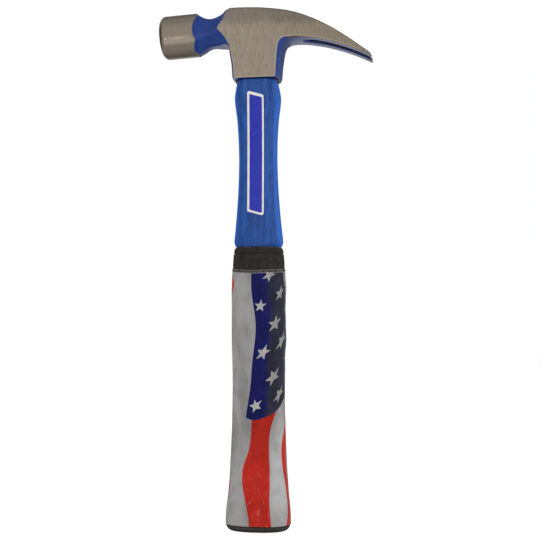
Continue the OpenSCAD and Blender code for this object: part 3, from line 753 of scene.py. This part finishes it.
# ---------------------------------------------------------------- materials
def head_material():
    t = Tree("head_steel_and_enamel")
    co = t.mm()
    steel, zone = t.attr("steel"), t.attr("zone")
    x, y, z = t.xyz(co)
    # grind lines run across the cheeks, turning lines run round the bell
    a = t.vec("DOT_PRODUCT", t.vec("SUBTRACT", co, (-50.0, 0.0, 314.1)), (-math.cos(CANT), 0.0, -math.sin(CANT)))
    around = t.math("ARCTAN2", y, t.math("SUBTRACT", z, 314.1))
    grind = t.noise(t.join(t.math("MULTIPLY", t.math("ADD", x, t.math("MULTIPLY", z, 0.06)), 6.5), y, t.math("MULTIPLY", z, 0.28)), 1.0, 4.0, 0.7)
    turn = t.noise(t.join(t.math("MULTIPLY", a, 5.0), t.math("MULTIPLY", around, 0.9), 3.0), 1.0, 4.0, 0.6)
    is_bell = t.span(zone, 0.4, 0.6)
    is_top = t.span(zone, 1.4, 1.6)
    is_bell = t.math("SUBTRACT", is_bell, is_top)
    lines = t.mixf(is_bell, grind, turn)
    cloud = t.noise(co, 0.09, 3.0, 0.55)
    metal_c = t.mix(t.span(lines, 0.3, 0.72), (0.52, 0.44, 0.35), (0.75, 0.64, 0.52))
    metal_c = t.mix(t.math("MULTIPLY", t.span(cloud, 0.35, 0.7), 0.75), metal_c, (0.60, 0.51, 0.41))
    grain = t.noise(t.join(t.math("MULTIPLY", x, 1.9), y, t.math("MULTIPLY", z, 0.17)), 1.0, 4.0, 0.68)
    metal_c = t.mix(t.math("MULTIPLY", t.span(grain, 0.36, 0.64), 0.72), metal_c, (0.74, 0.73, 0.72), "MULTIPLY")
    metal_c = t.mix(1.0, metal_c, (1.17, 1.16, 1.15), "MULTIPLY")
    # darker, slightly bluer band along the top of the cheeks
    wave = t.math("MULTIPLY", t.math("SUBTRACT", cloud, 0.5), 7.0)
    top_band = t.span(t.math("ADD", t.math("ADD", z, wave), t.math("MULTIPLY", x, 0.045)), 317.2, 322.8)
    top_band = t.math("MULTIPLY", top_band, t.span(zone, 0.6, 0.4))
    metal_c = t.mix(top_band, metal_c, (0.73, 0.74, 0.78), "MULTIPLY")
    # painted shade: the steel grows darker toward the claw and the top of the head
    far_shade = t.span(t.math("ADD", x, t.math("MULTIPLY", t.math("SUBTRACT", z, HEAD_Z), 0.6)), 8.0, 62.0)
    metal_c = t.mix(t.math("MULTIPLY", far_shade, 0.55), metal_c, (0.74, 0.71, 0.665), "MULTIPLY")
    metal_c = t.mix(t.math("MULTIPLY", is_bell, 0.75), metal_c, (0.49, 0.415, 0.325))
    rim = t.attr("rim")
    metal_c = t.mix(t.math("MULTIPLY", t.span(rim, 0.05, 0.9), 0.9), metal_c, (0.86, 0.70, 0.48))
    metal_c = t.mix(t.math("MULTIPLY", t.span(rim, -0.05, -0.9), 0.85), metal_c, (0.16, 0.12, 0.08))
    # enamel
    peel = t.noise(co, 0.55, 2.0, 0.5)
    pool = t.noise(co, 0.07, 2.0, 0.5)
    paint_c = t.mix(t.span(pool, 0.35, 0.68), (0.011, 0.045, 0.24), (0.017, 0.060, 0.29))
    # painted shade: enamel darkened to near black in the slot's shaded hollow
    paint_c = t.mix(t.math("MULTIPLY", t.attr("slot_shade"), 0.97), paint_c, (0.001, 0.003, 0.03))
    color = t.mix(steel, paint_c, metal_c)
    rough_m = t.mixf(is_bell, t.mixf(t.span(lines, 0.25, 0.75), 0.44, 0.34), t.mixf(t.span(lines, 0.25, 0.75), 0.27, 0.20))
    rough_p = t.mixf(t.attr("slot_shade"), t.mixf(peel, 0.20, 0.27), 0.7)
    rough = t.mixf(steel, rough_p, rough_m)
    fine = t.mixf(steel, t.math("MULTIPLY", peel, 0.6), t.math("MULTIPLY", lines, t.mixf(is_bell, 0.10, 0.04)))
    normal = t.bump(fine, 0.35, 0.00025)
    return t.set(color=color, metal=steel, rough=rough, normal=normal, spec=0.5)


def jacket_material():
    t = Tree("jacket_blue_streaked")
    co = t.mm()
    x, y, z = t.xyz(co)
    run = lambda k, kz, detail, rough: t.noise(t.join(t.math("MULTIPLY", x, k), t.math("MULTIPLY", y, k), t.math("MULTIPLY", z, kz)), 1.0, detail, rough)
    streak, thin, mottle, speck = run(0.55, 0.022, 5.0, 0.62), run(1.5, 0.06, 3.0, 0.6), run(0.42, 0.16, 4.0, 0.65), run(1.0, 0.6, 2.0, 0.5)
    c = t.mix(t.span(streak, 0.32, 0.70), (0.0075, 0.050, 0.235), (0.017, 0.084, 0.355))
    c = t.mix(t.math("MULTIPLY", t.span(mottle, 0.42, 0.66), 0.55), c, (0.62, 0.68, 0.74), "MULTIPLY")
    c = t.mix(t.math("MULTIPLY", t.span(thin, 0.50, 0.74), 0.40), c, (0.034, 0.135, 0.47))
    edge = t.attr("edge")
    # painted highlight along the ridges where the front and back flats meet the shoulders
    ridge = t.math("MULTIPLY", t.span(t.math("ABSOLUTE", t.math("SUBTRACT", edge, 0.53)), 0.12, 0.0), t.span(streak, 0.35, 0.60))
    c = t.mix(t.math("MULTIPLY", ridge, 0.45), c, (0.030, 0.150, 0.52))
    # painted light: the handle's sides are a brighter, more saturated blue
    c = t.mix(t.math("MULTIPLY", t.span(edge, 0.78, 0.99), 0.80), c, (0.011, 0.135, 0.62))
    c = t.mix(t.math("MULTIPLY", t.span(speck, 0.71, 0.77), 0.5), c, (0.20, 0.38, 0.70))
    rough = t.mixf(streak, 0.36, 0.48)
    h = t.math("ADD", t.math("MULTIPLY", streak, 0.7), t.math("MULTIPLY", thin, 0.3))
    return t.set(color=c, rough=rough, normal=t.bump(h, 0.30, 0.0004), spec=0.4)


def label_material():
    t = Tree("label_white_edge_blue_field")
    u, v, _ = t.xyz(t.attr("strip", "Vector"))
    du = t.math("SUBTRACT", 5.6, t.math("ABSOLUTE", t.math("SUBTRACT", u, 0.15)))
    dv = t.math("SUBTRACT", 38.9, t.math("ABSOLUTE", t.math("ADD", v, 0.25)))
    # rounded inner corner of the border
    iu = t.math("MAXIMUM", t.math("SUBTRACT", 2.4, du), 0.0)
    iv = t.math("MAXIMUM", t.math("SUBTRACT", 3.1, dv), 0.0)
    d = t.math("SQRT", t.math("ADD", t.math("MULTIPLY", iu, iu), t.math("MULTIPLY", iv, iv)))
    border = t.span(d, 0.78, 0.88)
    grime = t.noise(t.mm(), 0.35, 4.0, 0.6)
    white = t.mix(t.span(grime, 0.3, 0.75), (0.90, 0.875, 0.815), (0.80, 0.775, 0.715))
    blue = t.mix(t.span(grime, 0.3, 0.75), (0.017, 0.029, 0.45), (0.013, 0.022, 0.38))
    c = t.mix(border, blue, white)
    h = t.math("ADD", t.math("MULTIPLY", border, 0.4), t.math("MULTIPLY", grime, 0.25))
    return t.set(color=c, rough=t.mixf(grime, 0.26, 0.38), normal=t.bump(h, 0.2, 0.0002), spec=0.45)


def rubber_material():
    t = Tree("grip_black_rubber")
    co = t.mm()
    g = t.noise(co, 2.4, 3.0, 0.6)
    m = t.noise(co, 0.30, 4.0, 0.62)
    c = t.mix(t.span(m, 0.3, 0.7), (0.0155, 0.0138, 0.0117), (0.031, 0.0275, 0.0235))
    x, y, z = t.xyz(co)
    beads = t.noise(t.join(x, y, 0.0), 0.55, 2.0, 0.6)
    glue = t.math("MULTIPLY", t.span(z, 177.25, 177.5), t.span(beads, 0.36, 0.52))
    c = t.mix(glue, c, t.mix(t.span(beads, 0.60, 0.68), (0.11, 0.062, 0.024), (0.42, 0.37, 0.27)))
    # painted highlight: a lighter band round the butt, about 2.7 mm up
    butt_band_highlight = t.math("MULTIPLY", t.span(t.math("ABSOLUTE", t.math("SUBTRACT", z, 2.7)), 1.0, 0.2), t.span(m, 0.25, 0.6))
    c = t.mix(t.math("MULTIPLY", butt_band_highlight, 0.8), c, (0.062, 0.060, 0.052))
    return t.set(color=c, rough=t.mixf(g, 0.58, 0.74), normal=t.bump(g, 0.35, 0.00025), spec=0.3)


def wrap_material():
    t = Tree("wrap_printed_film")
    s, z, low = t.xyz(t.attr("wrap", "Vector"))         # round the grip, height, distance below the cut edge
    co = t.mm()
    sin = lambda v, k, p: t.math("SINE", t.math("ADD", t.math("MULTIPLY", v, k), p))
    add, sub, mul = (lambda a, b: t.math("ADD", a, b)), (lambda a, b: t.math("SUBTRACT", a, b)), (lambda a, b: t.math("MULTIPLY", a, b))
    div, above, below = (lambda a, b: t.math("DIVIDE", a, b)), (lambda a, b: t.math("GREATER_THAN", a, b)), (lambda a, b: t.math("LESS_THAN", a, b))

    def hump(at, wide, gain):
        q = div(sub(z, at), wide)
        return mul(t.math("EXPONENT", mul(mul(q, q), -1.0)), gain)

    # star field: waved left edge, pointed hem, right edge drawn in at the top
    left = add(add(mul(sub(z, 118.0), 0.03), -2.4), add(mul(sin(z, 0.062, 0.4), 2.0), mul(sin(z, 0.15, 1.1), 0.5)))
    v = sub(s, 0.5)
    hem = add(add(t.math("SQRT", add(mul(mul(v, v), 0.5), 6.0)), 66.5), mul(sin(s, 0.3, 0.9), 0.9))
    right = add(t.span(z, 126.0, 158.0, 31.0, 20.8), mul(sin(z, 0.3, 0.0), 0.5))
    fs, fz = sub(s, left), sub(z, hem)
    field = mul(mul(t.span(fs, -0.06, 0.06), t.span(fz, -0.06, 0.06)), t.span(sub(right, s), -0.06, 0.06))
    # stars of uneven size and turn in a loose staggered pattern
    ps, pz = 14.6, 15.6
    gz = div(sub(fz, 1.0), pz)
    row = t.math("FLOOR", gz)
    shift = mul(t.math("FLOORED_MODULO", row, 2.0), 0.5)
    cs = add(div(add(fs, 2.0), ps), shift)
    col = t.math("FLOOR", cs)
    wn = t.node("ShaderNodeTexWhiteNoise", noise_dimensions="3D")
    t.put(wn.inputs["Vector"], t.join(col, row, 5.3))
    r1, r2, r3 = t.xyz(wn.outputs["Color"])
    lx = sub(mul(sub(sub(cs, col), 0.5), ps), mul(sub(r1, 0.5), 3.4))
    lz = sub(mul(sub(sub(gz, row), 0.5), pz), mul(sub(r2, 0.5), 4.0))
    ang = add(t.math("ARCTAN2", lz, lx), add(mul(r1, 1.1), add(mul(r3, 1.6), 4.2)))
    rad = t.math("SQRT", add(mul(lx, lx), mul(lz, lz)))
    fold = t.math("PINGPONG", ang, math.pi / 5)
    R = add(3.6, mul(r3, 1.4))
    qx, qy = mul(rad, t.math("COSINE", fold)), mul(rad, t.math("SINE", fold))
    bx, by = 0.42 * math.cos(math.pi / 5), 0.42 * math.sin(math.pi / 5)
    inside = sub(mul(qy, bx - 1.0), mul(sub(qx, R), by))      # above 0 inside the star
    centre = add(mul(sub(add(col, 0.5), shift), ps), sub(mul(sub(r1, 0.5), 3.4), 2.0))
    star = mul(mul(t.span(inside, -0.02, 0.03), above(centre, 3.4)), above(row, -0.5))
    # waved stripes below and behind the field
    wave = add(add(mul(sub(z, 40.0), 0.05), -4.6), mul(sin(z, 0.09, 0.9), 2.1))
    ls = sub(sub(s, wave), mul(t.math("SINE", add(add(mul(z, 0.12), mul(s, 0.14)), 2.0)), 1.5))
    off, on = (0.0, 0.0, 0.0), (1.0, 1.0, 1.0)
    bands = t.ramp(div(add(ls, 50.0), 100.0), [(0.0, off), (0.06, on), (0.115, off), (0.50, on), (0.635, off), (0.735, on),
                                               (0.80, off), (0.86, on), (0.925, off)], "CONSTANT")
    bands = mul(bands, sub(1.0, mul(t.span(z, 84.0, 92.0), mul(above(s, 15.0), below(s, 34.0)))))
    bands = mul(bands, sub(1.0, mul(above(z, 69.0), mul(below(fs, 1.0), above(s, -20.0)))))
    # stripe that comes round the left side
    turn = add(hump(154.0, 12.0, 13.2), add(hump(27.0, 10.0, 11.4), -29.0))
    side = mul(t.span(sub(turn, s), -0.06, 0.06), above(ls, -33.0))
    light = mul(mul(t.span(z, 72.0, 56.0), t.span(z, 8.0, 22.0)), t.span(s, 5.0, 12.0))
    white = t.mix(light, (0.355, 0.347, 0.339), (0.46, 0.457, 0.458))
    bands = t.mix(t.math("MAXIMUM", bands, side), white, (0.54, 0.021, 0.011))
    # soft shading of a printed waving cloth
    folds = t.noise(t.join(mul(s, 0.075), mul(z, 0.022), 1.0), 1.0, 2.0, 0.5)
    crumple = t.noise(t.join(mul(s, 0.16), mul(z, 0.10), 4.0), 1.0, 3.0, 0.55)
    bands = t.mix(mul(t.span(folds, 0.40, 0.70), 0.55), bands, (0.50, 0.485, 0.48), "MULTIPLY")
    bands = t.mix(mul(t.span(crumple, 0.44, 0.70), 0.42), bands, (0.62, 0.605, 0.60), "MULTIPLY")
    grey = t.span(add(s, mul(sub(folds, 0.5), 12.0)), 5.5, 11.0)
    blue = t.mix(t.span(crumple, 0.35, 0.70), (0.0028, 0.0045, 0.068), (0.0060, 0.0075, 0.115))
    blue = t.mix(grey, blue, t.mix(t.span(crumple, 0.35, 0.70), (0.018, 0.018, 0.030), (0.030, 0.029, 0.055)))
    pale = t.mix(grey, t.mix(t.span(crumple, 0.40, 0.70), (0.46, 0.45, 0.43), (0.36, 0.355, 0.35)), (0.27, 0.265, 0.255))
    ink = t.mix(field, bands, t.mix(star, blue, pale))
    # creases near the flare catch the light
    bend = add(mul(sin(z, 0.13, 0.6), 3.4), mul(t.math("SINE", add(mul(s, 0.35), mul(z, 0.21))), 1.6))
    crease = t.noise(t.join(mul(add(add(s, bend), mul(z, 0.35)), 1.0), mul(z, 0.13), 5.0), 1.0, 3.0, 0.6)
    crease = mul(t.span(crease, 0.58, 0.70), t.span(z, 62.0, 20.0))
    ink = t.mix(mul(crease, 0.12), ink, (0.75, 0.70, 0.68))
    # unprinted clear margin over the black rubber at the top, with a painted highlight along the cut edge
    ragged = t.noise(t.join(mul(s, 0.5), 0.0, 0.0), 1.0, 2.0, 0.5)
    depth = add(low, mul(sub(ragged, 0.5), 1.1))
    clear = t.span(depth, 2.05, 1.9)
    rimlit = mul(t.span(low, 0.75, 0.35), t.span(ragged, 0.30, 0.60))
    ink = t.mix(clear, ink, t.mix(rimlit, t.mix(ragged, (0.032, 0.029, 0.026), (0.085, 0.079, 0.071)), (0.17, 0.16, 0.14)))
    pale_line = mul(t.span(depth, 1.6, 1.85), t.span(depth, 2.25, 2.05))
    ink = t.mix(mul(pale_line, t.mixf(ragged, 0.2, 0.75)), ink, (0.36, 0.35, 0.34))
    fine = t.noise(t.join(mul(s, 0.28), mul(add(z, mul(s, 0.5)), 0.55), 0.0), 1.0, 3.0, 0.55)
    normal = t.bump(add(mul(fine, 0.6), mul(crease, 0.5)), 0.22, 0.0005)
    grain = t.noise(co, 1.2, 2.0, 0.5)
    return t.set(color=ink, rough=t.mixf(grain, 0.17, 0.27), normal=normal, spec=0.22)


def seal_material():
    t = Tree("seal_brown_compound")
    g = t.noise(t.mm(), 0.8, 3.0, 0.6)
    c = t.mix(t.span(g, 0.3, 0.7), (0.075, 0.040, 0.015), (0.16, 0.095, 0.042))
    return t.set(color=c, rough=t.mixf(g, 0.40, 0.6), normal=t.bump(g, 0.5, 0.0005))


def epoxy_material():
    t = Tree("epoxy_amber")
    g = t.noise(t.mm(), 0.25, 3.0, 0.6)
    bubbles = t.noise(t.mm(), 1.3, 1.0, 0.5)
    c = t.mix(t.span(g, 0.3, 0.7), (0.15, 0.066, 0.012), (0.30, 0.155, 0.034))
    return t.set(color=c, rough=t.mixf(g, 0.14, 0.26), normal=t.bump(bubbles, 0.25, 0.0005), coat=0.4)


def core_material():
    t = Tree("core_glass_fibre")
    x, y, z = t.xyz(t.mm())
    f = t.noise(t.join(t.math("MULTIPLY", x, 2.2), t.math("MULTIPLY", y, 2.2), t.math("MULTIPLY", z, 0.03)), 1.0, 4.0, 0.6)
    c = t.mix(t.span(f, 0.3, 0.7), (0.46, 0.47, 0.36), (0.66, 0.66, 0.54))
    return t.set(color=c, rough=t.mixf(f, 0.4, 0.6), normal=t.bump(f, 0.4, 0.0003))


# ---------------------------------------------------------------- put together
def place(ob, node, mat):
    ob.data.materials.clear()
    ob.data.materials.append(mat)
    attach(ob, "root")
    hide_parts(node)
    return ob


place(build_head(), "hammer_head", head_material())
place(build_jacket(), "handle_jacket", jacket_material())
place(build_label(), "handle_label", label_material())
place(build_grip(), "grip_sleeve", rubber_material())
place(build_wrap(), "grip_wrap", wrap_material())
place(build_seal(), "eye_seal", seal_material())
place(build_epoxy(), "eye_epoxy", epoxy_material())
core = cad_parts["handle_core"]
core = core if isinstance(core, bpy.types.Object) else bpy.data.objects[core]
fibre = core_material()
if not core.material_slots:
    core.data.materials.append(fibre)
for s in core.material_slots:
    s.material = fibre

# ---------------------------------------------------------------- stage, light, camera
scene = bpy.context.scene
scene.view_settings.view_transform = "Standard"
scene.view_settings.look = "None"


def plain(name, color, rough=0.9, glow=0.0):
    m = bpy.data.materials.new(name)
    m.use_nodes = True
    b = m.node_tree.nodes["Principled BSDF"]
    b.inputs["Base Color"].default_value = (*color, 1)
    b.inputs["Roughness"].default_value = rough
    b.inputs["Specular IOR Level"].default_value = 0.1
    if glow:
        b.inputs["Emission Color"].default_value = (1, 1, 1, 1)
        b.inputs["Emission Strength"].default_value = glow
    return m


def disc(name, radius, z, n=96):
    t = np.linspace(0, 2 * math.pi, n, endpoint=False)
    V = np.column_stack([np.cos(t) * radius, np.sin(t) * radius, np.full(n, z)])
    me = bpy.data.meshes.new(name)
    me.from_pydata(V.tolist(), [], [list(range(n))])
    ob = bpy.data.objects.new(name, me)
    scene.collection.objects.link(ob)
    return ob


def only_seen(ob):
    """Seen by the camera, left out of the light that falls on the object."""
    ob.visible_diffuse = ob.visible_glossy = ob.visible_transmission = ob.visible_shadow = False


floor = disc("studio_floor", 3.4, -0.0002)
floor.data.materials.append(plain("studio_pale", (0.4, 0.4, 0.4), glow=0.87))
only_seen(floor)


def dome(name, radius, rows=24, n=64):
    V, F = [], []
    for j in range(rows + 1):
        e = math.radians(-20 + 110 * j / rows)
        for i in range(n):
            t = 2 * math.pi * i / n
            V.append((radius * math.cos(e) * math.cos(t), radius * math.cos(e) * math.sin(t), radius * math.sin(e)))
    for j in range(rows):
        for i in range(n):
            F.append((j * n + i, j * n + (i + 1) % n, (j + 1) * n + (i + 1) % n, (j + 1) * n + i))
    me = bpy.data.meshes.new(name)
    me.from_pydata(V, [], F)
    ob = bpy.data.objects.new(name, me)
    scene.collection.objects.link(ob)
    return ob


# plain white surround, seen by the camera and left out of the lighting
surround = dome("studio_surround", 3.5)
surround.data.materials.append(plain("studio_white", (0.0, 0.0, 0.0), glow=1.0))
only_seen(surround)

world = bpy.data.worlds.new("studio")
scene.world = world
world.use_nodes = True
wt = world.node_tree
wt.nodes.clear()
wo = wt.nodes.new("ShaderNodeOutputWorld")
bg = wt.nodes.new("ShaderNodeBackground")
tc = wt.nodes.new("ShaderNodeTexCoord")


def lobe(toward, a, b, gain):
    """Gain that fades in as the direction turns toward the given one."""
    d = wt.nodes.new("ShaderNodeVectorMath")
    d.operation = "DOT_PRODUCT"
    d.inputs[1].default_value = Vector(toward).normalized()
    wt.links.new(tc.outputs["Generated"], d.inputs[0])
    m = wt.nodes.new("ShaderNodeMapRange")
    m.interpolation_type = "SMOOTHSTEP"
    for key, v in zip(("From Min", "From Max", "To Min", "To Max"), (a, b, 0.0, gain)):
        m.inputs[key].default_value = v
    wt.links.new(d.outputs["Value"], m.inputs["Value"])
    return m.outputs[0]


level = None
for toward, a, b, gain in [((0, -1, 0.3), 0.45, 1.0, 0.13), ((-0.2, -0.81, -0.57), 0.95, 1.0, 0.30),
                           ((-0.2, 0.35, -0.92), 0.85, 1.0, -0.09),
                           ((0.15, 0.95, 0.28), 0.86, 0.98, -0.17), ((-1, 0.1, 0.15), 0.72, 0.97, -0.24),
                           ((-0.19, 0.97, -0.16), 0.945, 0.992, 0.36), ((0, 0.65, 0.76), 0.78, 1.0, -0.15),
                           ((-0.4, 0.72, -0.6), 0.84, 1.0, -0.17)]:
    m = wt.nodes.new("ShaderNodeMath")
    if level is None:
        m.inputs[0].default_value = 0.33
    else:
        wt.links.new(level, m.inputs[0])
    wt.links.new(lobe(toward, a, b, gain), m.inputs[1])
    level = m.outputs[0]
wt.links.new(level, bg.inputs["Strength"])
bg.inputs["Color"].default_value = (1, 1, 1, 1)
wt.links.new(bg.outputs[0], wo.inputs["Surface"])


def area(name, at, aim, size, power, size_y=None, shine=False):
    d = bpy.data.lights.new(name, "AREA")
    d.energy = power
    d.size = size
    if size_y:
        d.shape = "RECTANGLE"
        d.size_y = size_y
    o = bpy.data.objects.new(name, d)
    o.location = at
    o.rotation_euler = (Vector(aim) - Vector(at)).to_track_quat("-Z", "Y").to_euler()
    scene.collection.objects.link(o)
    o.visible_camera = False
    o.visible_glossy = shine
    return o


area("box_front", (0.05, -1.3, 0.8), (0, 0, 0.18), 1.0, 7.0, 0.8)
area("box_below", (0.0, -0.9, -0.55), (0, 0, 0.28), 1.0, 3.0, 0.6)
area("box_left", (-1.25, 0.0, 0.45), (0, 0, 0.18), 0.6, 6.0, 0.9)
area("box_right", (1.25, 0.05, 0.45), (0, 0, 0.18), 0.6, 8.5, 0.9)
area("box_back", (-0.1, 1.3, 0.8), (0, 0, 0.18), 1.0, 7.5, 0.8)
spot = bpy.data.lights.new("spot_bell", "SPOT")
spot.energy, spot.spot_size, spot.spot_blend, spot.shadow_soft_size = 0.14, math.radians(12), 0.6, 0.007
spot_at = bpy.data.objects.new("spot_bell", spot)
spot_at.location = (-0.215, -0.71, 0.118)
spot_at.rotation_euler = (Vector((-0.042, 0, 0.313)) - spot_at.location).to_track_quat("-Z", "Y").to_euler()
scene.collection.objects.link(spot_at)

az, el = math.radians(8.5), math.radians(-2.4)
target = Vector((0.0073 * math.cos(az), 0.0073 * math.sin(az), 0.1636))
cam_data = bpy.data.cameras.new("camera")
cam = bpy.data.objects.new("camera", cam_data)
scene.collection.objects.link(cam)
cam.location = target + 0.724 * Vector((math.sin(az) * math.cos(el), -math.cos(az) * math.cos(el), math.sin(el)))
cam.rotation_euler = (target - cam.location).to_track_quat("-Z", "Y").to_euler()
cam_data.sensor_width = 36.0
cam_data.lens = 36.0 * 1138.1 / 540
cam_data.clip_start, cam_data.clip_end = 0.01, 50.0
scene.camera = cam
